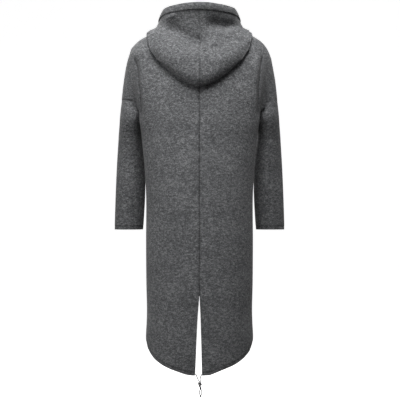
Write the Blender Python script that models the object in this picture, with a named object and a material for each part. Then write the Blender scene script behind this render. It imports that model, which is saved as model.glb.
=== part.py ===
"""Hooded boiled wool coat in its worn form, hollow, with a dipped hem, a back vent and a drawcord.

Metres, +Z up. The front faces -Y and the wearer's left is +X. The origin is the middle of the
neck opening, level with the nape seam, where a wearer's neck and shoulders hold the coat up.
"""

import math
from collections import namedtuple

import bmesh
import bpy
import numpy as np
from mathutils import Matrix, Vector
from mathutils.bvhtree import BVHTree

# Cloth and seams
WOOL_WALL = 0.003
TURNED_WALL = 0.0055
TURN_DEPTH = 0.012
TURN_STEP = 0.002
SEAM_GAP = 0.0003
WELD = 1e-5
HOLLOW_SEAM_ANGLE = -0.5

# Neckline
NECK_HALF_WIDTH = 0.078
NECK_POINT_Y = 0.012
NECK_POINT_Z = 0.024
NAPE_Y = 0.078
FRONT_NECK_Y = -0.088
FRONT_NECK_Z = -0.072

# Armhole of the dropped shoulder
TIP_Z = -0.2217
UNDERARM_Z = -0.304
ARMHOLE_LATE_DROP = 2.0
ARMHOLE_STAND = 0.0005
YOKE_DIP = 0.08
YOKE_DIP_POWER = 0.45
YOKE_CENTRE_Z = UNDERARM_Z - YOKE_DIP
SIDE_SEAM_ANGLE = math.radians(108.0)

# Hem, vent and front edges
HEM_BACK_Z = -1.145
HEM_SIDE_Z = -1.018
VENT_TOP_Z = -0.882
VENT_LEFT_WIDTH = 0.0145
VENT_RIGHT_WIDTH = 0.0085
VENT_OPENING_POWER = 0.60
HEM_CORNER_LIFT = 0.003
FRONT_LAP = 0.045
LAP_LIFT = 0.0066
LAP_RAMP_START = 0.135
LAP_RAMP_END = 0.055
LAP_NECK_DROP = 0.016
CUFF_Z = -0.664

# Hood
HOOD_BAND_WIDTH = 0.021
HOOD_BAND_WALL = 0.0028
HOOD_STAND_OUT = 0.012
HOOD_STAND_BACK_UP = 0.026
HOOD_STAND_SIDE_UP = 0.012
HOOD_LAYER_CLEARANCE = 0.0045
HOOD_REACH = 0.06
HOOD_FRONT_GAP = 0.0014
HOOD_BAND_LIFT = 0.0009
HOOD_BAND_SWELL = 0.0015
HOOD_CURVE_FULLNESS = 0.75

# Drawcord
CORD_DIAMETER = 0.0024
LOCK_LENGTH = 0.0135
LOCK_HEIGHT = 0.0075
LOCK_DEPTH = 0.0070
LOCK_ROUNDING = 0.0016
LOCK_TILT = math.radians(32.0)
LOCK_X = -0.0010
LOCK_Z = -1.1695
CORD_Y = 0.1405
CORD_GAP = 0.0012
LOCK_CLEARANCE = 0.0012
TAIL_HALF_GAP = 0.0024
CORD_STEPS = 4
KNOT_DIAMETER = 0.0056
KNOT_X = -0.0036
KNOT_Z = -1.1852
LOOP_HALF_WIDTH = 0.0040
END_KNOT_Z = -1.2105

# Grid counts: a body panel has NECK_COLUMNS + SHOULDER_COLUMNS columns
NECK_COLUMNS = 7
SHOULDER_COLUMNS = 10
YOKE_ROWS = 10
UPPER_SKIRT_ROWS = 9
LOWER_SKIRT_ROWS = 5
SLEEVE_ROWS = 12
LAP_COLUMNS = 2

PANEL_COLUMNS = NECK_COLUMNS + SHOULDER_COLUMNS
WOOL = dict(colour=(0.085, 0.087, 0.090), roughness=0.95)
BAND_WOOL = dict(colour=(0.078, 0.080, 0.083), roughness=0.95)
CORD = dict(colour=(0.20, 0.20, 0.205), roughness=0.7)
LOCK = dict(colour=(0.012, 0.012, 0.013), roughness=0.45)

# The shoulder seam, from the neck point over the shoulder to the tip on the outer arm
SeamPoint = namedtuple("SeamPoint", "x y z")
SHOULDER_SEAM = [
    SeamPoint(NECK_HALF_WIDTH, NECK_POINT_Y, NECK_POINT_Z),
    SeamPoint(0.135, 0.009, 0.007),
    SeamPoint(0.191, 0.006, -0.012),
    SeamPoint(0.222, 0.002, -0.034),
    SeamPoint(0.2385, -0.005, -0.064),
    SeamPoint(0.2495, -0.013, -0.103),
    SeamPoint(0.2600, -0.022, -0.163),
    SeamPoint(0.2670, -0.030, TIP_Z),
]

# Centre profiles of the yoke: how far back and front the cloth stands at each height
ProfilePoint = namedtuple("ProfilePoint", "z y")
BACK_PROFILE = [
    ProfilePoint(0.0, NAPE_Y),
    ProfilePoint(-0.05, 0.101),
    ProfilePoint(-0.12, 0.124),
    ProfilePoint(-0.20, 0.137),
    ProfilePoint(-0.28, 0.1415),
    ProfilePoint(YOKE_CENTRE_Z, 0.1446),
]
FRONT_PROFILE = [
    ProfilePoint(FRONT_NECK_Z, FRONT_NECK_Y),
    ProfilePoint(-0.12, -0.105),
    ProfilePoint(-0.20, -0.121),
    ProfilePoint(-0.28, -0.1275),
    ProfilePoint(YOKE_CENTRE_Z, -0.1306),
]

# Level sections of the body below the underarm
BodyLevel = namedtuple("BodyLevel", "z half_width back front widest_y")
BODY_LEVELS = [
    BodyLevel(UNDERARM_Z, 0.1995, 0.142, 0.128, 0.030),
    BodyLevel(-0.40, 0.1910, 0.145, 0.131, 0.028),
    BodyLevel(-0.54, 0.1814, 0.146, 0.133, 0.020),
    BodyLevel(-0.70, 0.1820, 0.147, 0.136, 0.010),
    BodyLevel(-0.85, 0.1810, 0.147, 0.137, 0.008),
    BodyLevel(-0.955, 0.1790, 0.146, 0.137, 0.006),
    BodyLevel(-1.015, 0.1822, 0.146, 0.139, 0.004),
    BodyLevel(HEM_BACK_Z, 0.1835, 0.143, 0.140, 0.004),
]
BODY_SQUARENESS = 2.3

# The hem's height round the body, by angle from the centre back, on either side
HemPoint = namedtuple("HemPoint", "angle left right")
HEM_LINE = [
    HemPoint(0, HEM_BACK_Z, HEM_BACK_Z),
    HemPoint(9, -1.139, -1.138),
    HemPoint(18, -1.130, -1.127),
    HemPoint(36, -1.114, -1.109),
    HemPoint(59, -1.081, -1.077),
    HemPoint(75, -1.050, -1.050),
    HemPoint(90, HEM_SIDE_Z, HEM_SIDE_Z),
    HemPoint(125, -0.950, -0.950),
    HemPoint(180, -0.900, -0.900),
]

# The fold line where the back's edge swells and the arm sinks behind it
FoldPoint = namedtuple("FoldPoint", "z x")
ARM_FOLD_LINE = [
    FoldPoint(-0.080, 0.2130),
    FoldPoint(-0.140, 0.2125),
    FoldPoint(-0.190, 0.2100),
    FoldPoint(-0.238, 0.2064),
    FoldPoint(UNDERARM_Z, 0.1990),
]
BACK_FOLD_DEPTH = 0.020
BACK_FOLD_SWELL = 0.005
FRONT_FOLD_DEPTH = 0.012
FOLD_WALL = 0.014
FOLD_WIDTH = 0.050

# Level sections of the arm, from the shoulder tip to the cuff
ArmLevel = namedtuple("ArmLevel", "z outer inner middle_y half_depth")
ARM_LEVELS = [
    ArmLevel(TIP_Z, 0.2670, 0.1750, -0.030, 0.070),
    ArmLevel(UNDERARM_Z, 0.2752, 0.1880, -0.034, 0.068),
    ArmLevel(-0.330, 0.2775, 0.1985, -0.047, 0.066),
    ArmLevel(-0.358, 0.2795, 0.1950, -0.053, 0.062),
    ArmLevel(-0.440, 0.2852, 0.1865, -0.062, 0.056),
    ArmLevel(-0.550, 0.2905, 0.1865, -0.068, 0.050),
    ArmLevel(CUFF_Z, 0.2945, 0.1935, -0.076, 0.045),
]

# Hood sections round the neck, by angle from the centre back: distance from the neck's axis, height
HoodSection = namedtuple(
    "HoodSection", "angle fold_r fold_z pouch_r pouch_z valley_r valley_z rim_r rim_z"
)
HOOD_SECTIONS = [
    HoodSection(0, 0.152, -0.192, 0.180, -0.112, 0.116, -0.030, 0.120, 0.089),
    HoodSection(37, 0.163, -0.141, 0.185, -0.080, 0.128, -0.006, 0.121, 0.084),
    HoodSection(63, 0.170, -0.080, 0.184, -0.040, 0.145, 0.014, 0.127, 0.077),
    HoodSection(90, 0.168, -0.009, 0.166, 0.002, 0.151, 0.019, 0.128, 0.063),
    HoodSection(120, 0.157, -0.024, 0.164, -0.006, 0.149, 0.008, 0.131, 0.030),
    HoodSection(150, 0.119, -0.055, 0.126, -0.040, 0.125, -0.028, 0.121, -0.014),
    HoodSection(180, 0.099, -0.061, 0.104, -0.052, 0.108, -0.043, 0.112, -0.034),
]


# The knots of a hood section from the neck seam to the rim: grid steps from the knot before,
# least height over the coat, and whether the hidden layer lies on the coat there
HoodKnot = namedtuple("HoodKnot", "name steps clearance laid")
HOOD_KNOTS = [
    HoodKnot("neck", 0, 0.0, False),
    HoodKnot("stand", 1, 0.0, False),
    HoodKnot("upper", 2, HOOD_LAYER_CLEARANCE, True),
    HoodKnot("lower", 2, HOOD_LAYER_CLEARANCE, True),
    HoodKnot("fold", 2, 0.0100, False),
    HoodKnot("pouch", 3, 0.0190, False),
    HoodKnot("valley", 4, 0.0175, False),
    HoodKnot("band", 3, 0.010, False),
    HoodKnot("rim", 1, 0.010, False),
]


def blend(a, b, share):
    """Straight mix of two values."""
    return a + (b - a) * share


def smooth_step(low, high, value):
    """Soft ramp from 0 at low to 1 at high, whichever is larger."""
    share = min(1.0, max(0.0, (value - low) / (high - low)))
    return share * share * (3.0 - 2.0 * share)


def table_value(rows, key, column, at, level_ends=False):
    """Smooth value of a table's column where its key column equals at."""
    keys = np.array([getattr(row, key) for row in rows], float)
    values = np.array([getattr(row, column) for row in rows], float)
    if keys[0] > keys[-1]:
        keys, values = keys[::-1], values[::-1]
    slopes = np.gradient(values, keys)
    if level_ends:
        slopes[0] = slopes[-1] = 0.0
    at = min(max(at, keys[0]), keys[-1])
    i = min(max(int(np.searchsorted(keys, at)) - 1, 0), len(keys) - 2)
    step = keys[i + 1] - keys[i]
    t = (at - keys[i]) / step
    rise = (2 * t**3 - 3 * t**2 + 1) * values[i] + (3 * t**2 - 2 * t**3) * values[i + 1]
    lean = (t**3 - 2 * t**2 + t) * slopes[i] + (t**3 - t**2) * slopes[i + 1]
    return float(rise + step * lean)


def spline_points(knots, counts, fullness=1.0):
    """Points on a smooth curve through the knots, with counts[i] steps from knot i to the next."""
    knots = [np.array(knot, float) for knot in knots]
    padded = [2 * knots[0] - knots[1], *knots, 2 * knots[-1] - knots[-2]]
    points = [knots[0]]
    for i, count in enumerate(counts):
        p0, p1, p2, p3 = padded[i : i + 4]
        chord = np.linalg.norm(p2 - p1) * fullness
        lean_in = (p2 - p0) / max(np.linalg.norm(p2 - p0), 1e-9) * chord
        lean_out = (p3 - p1) / max(np.linalg.norm(p3 - p1), 1e-9) * chord
        for step in range(1, count + 1):
            t = step / count
            points.append(
                (2 * t**3 - 3 * t**2 + 1) * p1
                + (t**3 - 2 * t**2 + t) * lean_in
                + (3 * t**2 - 2 * t**3) * p2
                + (t**3 - t**2) * lean_out
            )
    return np.array(points)


def even_points(line, count):
    """The line resampled to count even steps along its length."""
    along = np.concatenate([[0.0], np.cumsum(np.linalg.norm(np.diff(line, axis=0), axis=1))])
    at = np.linspace(0.0, along[-1], count + 1)
    return np.stack([np.interp(at, along, line[:, axis]) for axis in range(3)], axis=1)


def body_point(angle, z):
    """Point of the body's outside at an angle from the centre back, on the wearer's left."""
    half_width = table_value(BODY_LEVELS, "z", "half_width", z)
    widest_y = table_value(BODY_LEVELS, "z", "widest_y", z)
    depth = table_value(BODY_LEVELS, "z", "back", z) - widest_y
    if math.cos(angle) < 0:
        depth = table_value(BODY_LEVELS, "z", "front", z) + widest_y
    power = 2.0 / BODY_SQUARENESS
    x = half_width * abs(math.sin(angle)) ** power
    y = widest_y + depth * math.copysign(abs(math.cos(angle)) ** power, math.cos(angle))
    return np.array([x, y, z])


def body_half_width(y, z):
    """Half the body's width at a depth and a height."""
    widest_y = table_value(BODY_LEVELS, "z", "widest_y", z)
    depth = table_value(BODY_LEVELS, "z", "back" if y > widest_y else "front", z)
    depth += -widest_y if y > widest_y else widest_y
    share = 1.0 - (abs(y - widest_y) / depth) ** BODY_SQUARENESS
    return table_value(BODY_LEVELS, "z", "half_width", z) * share ** (1.0 / BODY_SQUARENESS)


def arm_point(turn, z):
    """Point of the arm's outside: turn 0 is outermost, positive turns to the rear."""
    outer = table_value(ARM_LEVELS, "z", "outer", z)
    inner = table_value(ARM_LEVELS, "z", "inner", z)
    middle_y = table_value(ARM_LEVELS, "z", "middle_y", z)
    half_depth = table_value(ARM_LEVELS, "z", "half_depth", z)
    x = (outer + inner) / 2 + (outer - inner) / 2 * math.cos(turn)
    return np.array([x, middle_y + half_depth * math.sin(turn), z])


def armhole_point(turn):
    """Point of the armhole seam, ending exactly on the body's side seam under the arm."""
    low = ((1 - math.cos(turn)) / 2) ** ARMHOLE_LATE_DROP
    point = arm_point(turn, blend(TIP_Z, UNDERARM_Z, low))
    underarm = body_point(SIDE_SEAM_ANGLE, UNDERARM_Z)
    point += (underarm - arm_point(math.pi, UNDERARM_Z)) * low**3
    if 0.3 < low < 1.0:
        point[0] = max(point[0], body_half_width(point[1], point[2]) + ARMHOLE_STAND)
    return point


def neckline(front):
    """Points of half the neckline from its centre to the neck point."""
    middle_y = FRONT_NECK_Y if front else NAPE_Y
    middle_z = FRONT_NECK_Z if front else 0.0
    points = []
    for column in range(NECK_COLUMNS + 1):
        angle = math.pi / 2 * column / NECK_COLUMNS
        y = blend(NECK_POINT_Y, middle_y, math.cos(angle))
        z = blend(NECK_POINT_Z, middle_z, math.cos(angle) ** 1.4)
        points.append([NECK_HALF_WIDTH * math.sin(angle), y, z])
    return np.array(points)


def panel_angles(front):
    """Angles round the body of a panel's columns, from its centre line to the side seam."""
    centre = math.pi if front else 0.0
    shares = np.linspace(0.0, 1.0, PANEL_COLUMNS + 1)
    return [blend(centre, SIDE_SEAM_ANGLE, share) for share in shares]


def yoke_bottoms():
    """Heights of the yoke's lowest row, which dips from the underarm to the centre line."""
    shares = np.linspace(1.0, 0.0, PANEL_COLUMNS + 1)
    return [UNDERARM_Z - YOKE_DIP * share**YOKE_DIP_POWER for share in shares]


def yoke_grid(front):
    """Rows of points from the neckline and shoulder seam down to the underarm level."""
    seam = even_points(spline_points(SHOULDER_SEAM, [6] * 7), SHOULDER_COLUMNS)
    top = np.vstack([neckline(front), seam[1:]])
    bottom = np.array([body_point(*place) for place in zip(panel_angles(front), yoke_bottoms())])
    profile = FRONT_PROFILE if front else BACK_PROFILE
    side = -1.0 if front else 1.0
    rows = []
    for row in range(YOKE_ROWS + 1):
        v = row / YOKE_ROWS
        out = math.sin(math.pi / 2 * v)
        down = 1.0 - math.cos(math.pi / 2 * v)
        fade = np.array([out, out, down])
        centre_z = blend(profile[0].z, YOKE_CENTRE_Z, down)
        centre = np.array([0.0, table_value(profile, "z", "y", centre_z), centre_z])
        armhole = armhole_point(side * math.pi * v)
        points = []
        for column in range(PANEL_COLUMNS + 1):
            u = column / PANEL_COLUMNS
            along = (1 - fade) * top[column] + fade * bottom[column]
            lift_centre = centre - ((1 - fade) * top[0] + fade * bottom[0])
            lift_arm = armhole - ((1 - fade) * top[-1] + fade * bottom[-1])
            points.append(along + (1 - u) * lift_centre + u**1.5 * lift_arm)
        rows.append(points)
    if front:
        rows[0][0][0] = HOOD_FRONT_GAP
    return np.array(rows)


def with_arm_fold(rows):
    """Presses the soft fold between back and arm into a left grid, and a lesser one in front."""
    for point in rows.reshape(-1, 3):
        x, y, z = point
        past = x - table_value(ARM_FOLD_LINE, "z", "x", z)
        trough = smooth_step(-0.004, FOLD_WALL - 0.004, past)
        trough *= 1.0 - smooth_step(FOLD_WALL - 0.004, FOLD_WIDTH, past)
        swell = math.exp(-((past / FOLD_WALL + 1.0) ** 2))
        level = smooth_step(-0.060, -0.140, z) * (1.0 - smooth_step(-0.230, -0.285, z))
        behind = level * smooth_step(-0.020, 0.030, y)
        before = level * smooth_step(-0.050, -0.090, y)
        point[1] += behind * (BACK_FOLD_SWELL * swell - BACK_FOLD_DEPTH * trough)
        point[1] += before * FRONT_FOLD_DEPTH * trough
    return rows


def skirt_shares():
    """How far down each skirt row lies, as a share of the way from the yoke to the hem."""
    vent = (YOKE_CENTRE_Z - VENT_TOP_Z) / (YOKE_CENTRE_Z - HEM_BACK_Z)
    turn = 1.0 - TURN_DEPTH / (UNDERARM_Z - HEM_SIDE_Z)
    above = 1.0 - (TURN_DEPTH + TURN_STEP) / (UNDERARM_Z - HEM_SIDE_Z)
    upper = np.linspace(0.0, vent, UPPER_SKIRT_ROWS + 1)
    lower = np.linspace(vent, above, LOWER_SKIRT_ROWS + 1)[1:]
    return [*upper, *lower, turn, 1.0]


def skirt_grid(front, side):
    """Rows of points from the bottom of the yoke down to the hem."""
    rows = []
    for share in skirt_shares():
        angles = panel_angles(front)
        hems = [table_value(HEM_LINE, "angle", side, math.degrees(angle), True) for angle in angles]
        heights = [blend(top, hem, share) for top, hem in zip(yoke_bottoms(), hems)]
        rows.append([body_point(angle, z) for angle, z in zip(angles, heights)])
    return np.array(rows)


def body_grid(front, side):
    """Whole grid of one body panel on the wearer's left, and the wall of each of its rows."""
    skirt = skirt_grid(front, side)
    rows = with_arm_fold(np.vstack([yoke_grid(front), skirt[1:]]))
    walls = [WOOL_WALL] * (len(rows) - 2) + [TURNED_WALL] * 2
    return rows, walls


def with_vent(rows, width):
    """A left back panel with its centre edge drawn aside below the vent's top."""
    opened = rows.copy()
    opened[-1, 0, 2] += HEM_CORNER_LIFT
    for row in opened:
        for column, point in enumerate(row):
            share = max(0.0, (VENT_TOP_Z - point[2]) / (VENT_TOP_Z - HEM_BACK_Z))
            near = (1 - column / PANEL_COLUMNS) ** 4
            point[0] += width * share**VENT_OPENING_POWER * near
    return opened


def sleeve_grid():
    """Rows of rings from the armhole to the cuff, closed round the arm."""
    turns = np.linspace(0.0, 2 * math.pi, 2 * YOKE_ROWS + 1)
    length = UNDERARM_Z - CUFF_Z
    turn_share = 1.0 - TURN_DEPTH / length
    above_share = 1.0 - (TURN_DEPTH + TURN_STEP) / length
    shares = [*np.linspace(0.0, above_share, SLEEVE_ROWS + 1), turn_share, 1.0]
    rows = []
    for share in shares:
        ring = []
        for turn in turns:
            rear_turn = turn if turn <= math.pi else turn - 2 * math.pi
            start = armhole_point(rear_turn)
            z = blend(start[2], CUFF_Z, share)
            ring.append(arm_point(turn, z) + (start - arm_point(turn, start[2])) * (1 - share) ** 6)
        rows.append(ring)
    walls = [WOOL_WALL] * (len(rows) - 2) + [TURNED_WALL] * 2
    return with_arm_fold(np.array(rows)), walls


def grid_normals(rows):
    """Unit normals of a grid of points, from its own neighbours."""
    across = np.gradient(rows, axis=1)
    down = np.gradient(rows, axis=0)
    normals = np.cross(across, down)
    return normals / np.maximum(np.linalg.norm(normals, axis=2, keepdims=True), 1e-12)


def mirrored(rows):
    """The same grid on the wearer's right."""
    return rows * np.array([-1.0, 1.0, 1.0])


def lap_columns(rows):
    """Columns past the centre front, on straight lines down the other side."""
    columns = []
    for share in range(LAP_COLUMNS, 0, -1):
        x = FRONT_LAP * share / LAP_COLUMNS
        columns.append([[-x, *(np.interp(x, row[:, 0], row[:, axis]) for axis in (1, 2))] for row in rows])
    return np.array(columns).transpose(1, 0, 2)


def lowered_lap(rows):
    """A front grid with the top of its lap slid down its own surface, clear of the hood."""
    for column in range(LAP_COLUMNS):
        line = rows[:, column].copy()
        along = np.concatenate([[0.0], np.cumsum(np.linalg.norm(np.diff(line, axis=0), axis=1))])
        at = LAP_NECK_DROP + along * (1.0 - LAP_NECK_DROP / along[-1])
        rows[:, column] = np.stack([np.interp(at, along, line[:, axis]) for axis in range(3)], axis=1)
    return rows


def front_grids():
    """The left front, and the right front that laps over it at the centre."""
    rows, walls = body_grid(True, "left")
    under = np.concatenate([lap_columns(rows), rows], axis=1)
    over = mirrored(under)
    outward = mirrored(grid_normals(under))
    for row in range(len(over)):
        for column in range(over.shape[1]):
            reach = smooth_step(-LAP_RAMP_START, -LAP_RAMP_END, over[row, column, 0])
            reach *= smooth_step(-0.010, -0.060, over[row, column, 1])
            over[row, column] += outward[row, column] * LAP_LIFT * reach
    return lowered_lap(under), lowered_lap(over), walls


def add_grid(surface, panel, rows, walls, clockwise):
    """Adds a grid of points to the joined surface as the faces of one panel."""
    panel_layer = surface.faces.layers.int["panel"]
    wall_layer = surface.verts.layers.float["wall"]
    verts = []
    for points, wall in zip(rows, walls):
        line = [surface.verts.new(point) for point in points]
        for vert in line:
            vert[wall_layer] = wall
        verts.append(line)
    for upper, lower in zip(verts[:-1], verts[1:]):
        for column in range(len(upper) - 1):
            first, last = upper[column], lower[column + 1]
            sides = [lower[column], upper[column + 1]]
            before, after = sides if clockwise else sides[::-1]
            face = surface.faces.new([first, before, last, after])
            face[panel_layer] = panel


def new_surface():
    """An empty joined surface with a panel number on faces and a wall on points."""
    surface = bmesh.new()
    surface.faces.layers.int.new("panel")
    surface.verts.layers.float.new("wall")
    return surface


def seam_inset(vert, panel_layer, panel):
    """How far a point moves into its own panel so that a seam stays open by SEAM_GAP."""
    pushes = []
    for edge in vert.link_edges:
        mine = [face for face in edge.link_faces if face[panel_layer] == panel]
        if len(edge.link_faces) != 2 or len(mine) != 1:
            continue
        along = (edge.other_vert(vert).co - vert.co).normalized()
        push = mine[0].normal.cross(along)
        if push.dot(mine[0].calc_center_median() - vert.co) < 0:
            push.negate()
        pushes.append(push.normalized())
    if not pushes:
        return Vector()
    total = sum(pushes, Vector())
    if len(pushes) == 2:
        total /= max(0.4, 1.0 + pushes[0].dot(pushes[1]))
    return total * SEAM_GAP / 2


def wall_direction(vert, panel_layer, panel):
    """Which way the wall faces, and how hollow the seam is: there a panel keeps to its own surface."""
    shares = {}
    for edge in vert.link_edges:
        panels = {face[panel_layer] for face in edge.link_faces}
        if len(panels) == 2 and panel in panels:
            share = 1.0 - smooth_step(0.0, HOLLOW_SEAM_ANGLE, edge.calc_face_angle_signed(0.0))
            (other,) = panels - {panel}
            shares[other] = min(share, shares.get(other, 1.0))
    least = min(shares.values(), default=1.0)
    total = Vector()
    for loop in vert.link_loops:
        owner = loop.face[panel_layer]
        share = 1.0 if owner == panel else shares.get(owner, least)
        total += loop.face.normal * loop.calc_angle() * share
    return total.normalized(), 1.0 - least


def make_material(name, colour, roughness):
    """A plain Principled finish."""
    material = bpy.data.materials.new(name)
    material.use_nodes = True
    shader = material.node_tree.nodes["Principled BSDF"]
    shader.inputs["Base Color"].default_value = (*colour, 1.0)
    shader.inputs["Roughness"].default_value = roughness
    shader.inputs["Metallic"].default_value = 0.0
    return material


def make_object(name, mesh_maker, finish):
    """Turns a bmesh into a named object with its own material."""
    mesh = bpy.data.meshes.new(name)
    mesh_maker.to_mesh(mesh)
    mesh_maker.free()
    mesh.shade_smooth()
    mesh.set_sharp_from_angle(angle=math.radians(50.0))
    mesh.materials.append(make_material(name + "_finish", **finish))
    piece = bpy.data.objects.new(name, mesh)
    bpy.context.scene.collection.objects.link(piece)
    return piece


def cut_panel(surface, panel, name, finish):
    """Gives one panel of the joined surface its wall, and makes it an object."""
    panel_layer = surface.faces.layers.int["panel"]
    wall_layer = surface.verts.layers.float["wall"]
    faces = [face for face in surface.faces if face[panel_layer] == panel]
    verts = {vert for face in faces for vert in face.verts}
    cloth = bmesh.new()
    outer, inner = {}, {}
    for vert in sorted(verts, key=lambda item: item.index):
        outward, hollow = wall_direction(vert, panel_layer, panel)
        place = vert.co + seam_inset(vert, panel_layer, panel) - outward * SEAM_GAP * hollow
        outer[vert] = cloth.verts.new(place)
        inner[vert] = cloth.verts.new(place - outward * vert[wall_layer])
    own = set(faces)
    for face in faces:
        cloth.faces.new([outer[vert] for vert in face.verts])
        cloth.faces.new([inner[vert] for vert in reversed(face.verts)])
        for loop in face.loops:
            if sum(other in own for other in loop.edge.link_faces) == 1:
                start, end = loop.vert, loop.link_loop_next.vert
                if start.index < end.index:
                    cloth.faces.new([outer[end], outer[start], inner[end]])
                    cloth.faces.new([outer[start], inner[start], inner[end]])
                else:
                    cloth.faces.new([outer[end], outer[start], inner[start]])
                    cloth.faces.new([outer[end], inner[start], inner[end]])
    return make_object(name, cloth, finish)


def joined(surface):
    """Welds the panels along their seams and settles the normals."""
    bmesh.ops.remove_doubles(surface, verts=surface.verts[:], dist=WELD)
    surface.verts.index_update()
    surface.normal_update()


def clear_of_coat(point, clearance, coat_tree):
    """Moves a point of the hood out of the coat's surface where it lies nearer than its clearance."""
    place, normal, _, distance = coat_tree.find_nearest(Vector(point))
    height = (Vector(point) - place).dot(normal)
    if height >= clearance or distance > HOOD_REACH:
        return point
    return np.array(place + normal * clearance)


def laid_on_coat(point, share, coat_tree):
    """Draws a point of the hood's hidden layer down towards the coat's surface."""
    place, normal, _, _ = coat_tree.find_nearest(Vector(point))
    return blend(np.array(point), np.array(place + normal * HOOD_LAYER_CLEARANCE), share)


def hood_knots(angle, side, neck):
    """Knots of one hood section, in the order of HOOD_KNOTS."""
    degrees = math.degrees(angle)

    def at(radius, height):
        return np.array([side * radius * math.sin(angle), radius * math.cos(angle), height])

    def from_table(name):
        radius = table_value(HOOD_SECTIONS, "angle", name + "_r", degrees, level_ends=True)
        return at(radius, table_value(HOOD_SECTIONS, "angle", name + "_z", degrees, level_ends=True))

    fold, pouch, valley, rim = (from_table(name) for name in ("fold", "pouch", "valley", "rim"))
    fullness = 1.0 - smooth_step(110.0, 165.0, degrees)
    stand_up = blend(HOOD_STAND_BACK_UP, HOOD_STAND_SIDE_UP, smooth_step(30.0, 85.0, degrees))
    standing = at(math.hypot(neck[0], neck[1]) + HOOD_STAND_OUT, neck[2] + stand_up)
    stand = blend(blend(neck, fold, 0.33), standing, fullness)
    upper, lower = blend(stand, fold, 0.30), blend(stand, fold, 0.68)
    band_share = min(0.5, HOOD_BAND_WIDTH / np.linalg.norm(rim - valley))
    band = blend(rim, valley, band_share)
    return [neck, stand, upper, lower, fold, pouch, valley, band, rim], fullness


def hood_grid(coat_tree, necks, side):
    """Grid of half the hood: rows from the neck seam to the rim, columns from back to front."""
    steps = [knot.steps for knot in HOOD_KNOTS[1:]]
    clearances = [HOOD_KNOTS[0].clearance]
    for knot, following in zip(HOOD_KNOTS[:-1], HOOD_KNOTS[1:]):
        clearances += list(np.linspace(knot.clearance, following.clearance, following.steps + 1)[1:])
    columns = []
    for index, neck in enumerate(necks):
        knots, fullness = hood_knots(math.pi * index / (len(necks) - 1), side, neck)
        for place, knot in enumerate(HOOD_KNOTS):
            if knot.laid:
                knots[place] = laid_on_coat(knots[place], fullness, coat_tree)
            elif knot.clearance:
                knots[place] = clear_of_coat(knots[place], knot.clearance, coat_tree)
        points = spline_points(knots, steps, HOOD_CURVE_FULLNESS)
        cleared = [clear_of_coat(*pair, coat_tree) for pair in zip(points[1:], clearances[1:])]
        columns.append([neck, *cleared])
    rows = np.array(columns).transpose(1, 0, 2)
    rows[:, -1, 0] = side * HOOD_FRONT_GAP
    return rows


def make_band(name, rows, side):
    """A raised band sewn round the hood's rim, made from the hood's own points moved out."""
    outward = -side * grid_normals(rows)
    low, high = rows[-2], rows[-1]
    low_out, high_out = outward[-2], outward[-1]
    base, face = HOOD_BAND_LIFT, HOOD_BAND_LIFT + HOOD_BAND_WALL
    middle_out = blend(low_out, high_out, 0.5)
    middle = blend(low, high, 0.5)
    section_lines = [
        low + low_out * base,
        high + high_out * base,
        high + high_out * face,
        middle + middle_out * (face + HOOD_BAND_SWELL),
        low + low_out * face,
    ]
    for line in section_lines:
        line[0, 0] = side * SEAM_GAP / 2
        line[-1, 0] = side * HOOD_FRONT_GAP
    band = bmesh.new()
    rings = [[band.verts.new(line[i]) for line in section_lines] for i in range(len(low))]
    for ring, following in zip(rings[:-1], rings[1:]):
        for corner in range(len(ring)):
            other = (corner + 1) % len(ring)
            sides = [ring[other], following[corner]]
            before, after = sides if side < 0 else sides[::-1]
            band.faces.new([ring[corner], before, following[other], after])
    band.faces.new(rings[0] if side > 0 else rings[0][::-1])
    band.faces.new(rings[-1][::-1] if side > 0 else rings[-1])
    make_object(name, band, BAND_WOOL)


def make_cloth():
    """Cuts the body panels, the sleeves and the hood from one joined surface."""
    left_rows, walls = body_grid(False, "left")
    right_rows, _ = body_grid(False, "right")
    back_left = with_vent(left_rows, VENT_LEFT_WIDTH)
    back_right = mirrored(with_vent(right_rows, VENT_RIGHT_WIDTH))
    front_left, front_right, _ = front_grids()
    sleeve, sleeve_walls = sleeve_grid()
    surface = new_surface()
    panels = [
        ("back_left", back_left, walls, False),
        ("back_right", back_right, walls, True),
        ("front_left", front_left, walls, True),
        ("front_right", front_right, walls, False),
        ("sleeve_left", sleeve, sleeve_walls, True),
        ("sleeve_right", mirrored(sleeve), sleeve_walls, False),
    ]
    for panel, (_, rows, row_walls, clockwise) in enumerate(panels):
        add_grid(surface, panel, rows, row_walls, clockwise)
    joined(surface)
    coat_tree = BVHTree.FromBMesh(surface)
    hoods = []
    for side, back_rows, front_rows in ((1, back_left, front_left), (-1, back_right, front_right)):
        front_neck = front_rows[0, LAP_COLUMNS : LAP_COLUMNS + NECK_COLUMNS]
        necks = [*back_rows[0, : NECK_COLUMNS + 1], *front_neck[::-1]]
        hoods.append(hood_grid(coat_tree, necks, side))
    hood_walls = [WOOL_WALL] * len(hoods[0])
    panels.append(("hood_left", hoods[0], hood_walls, True))
    panels.append(("hood_right", hoods[1], hood_walls, False))
    for panel, (_, rows, row_walls, clockwise) in list(enumerate(panels))[-2:]:
        add_grid(surface, panel, rows, row_walls, clockwise)
    joined(surface)
    for panel, (name, *_) in enumerate(panels):
        cut_panel(surface, panel, name, WOOL)
    surface.free()
    make_band("hood_band_left", hoods[0], 1)
    make_band("hood_band_right", hoods[1], -1)


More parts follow.
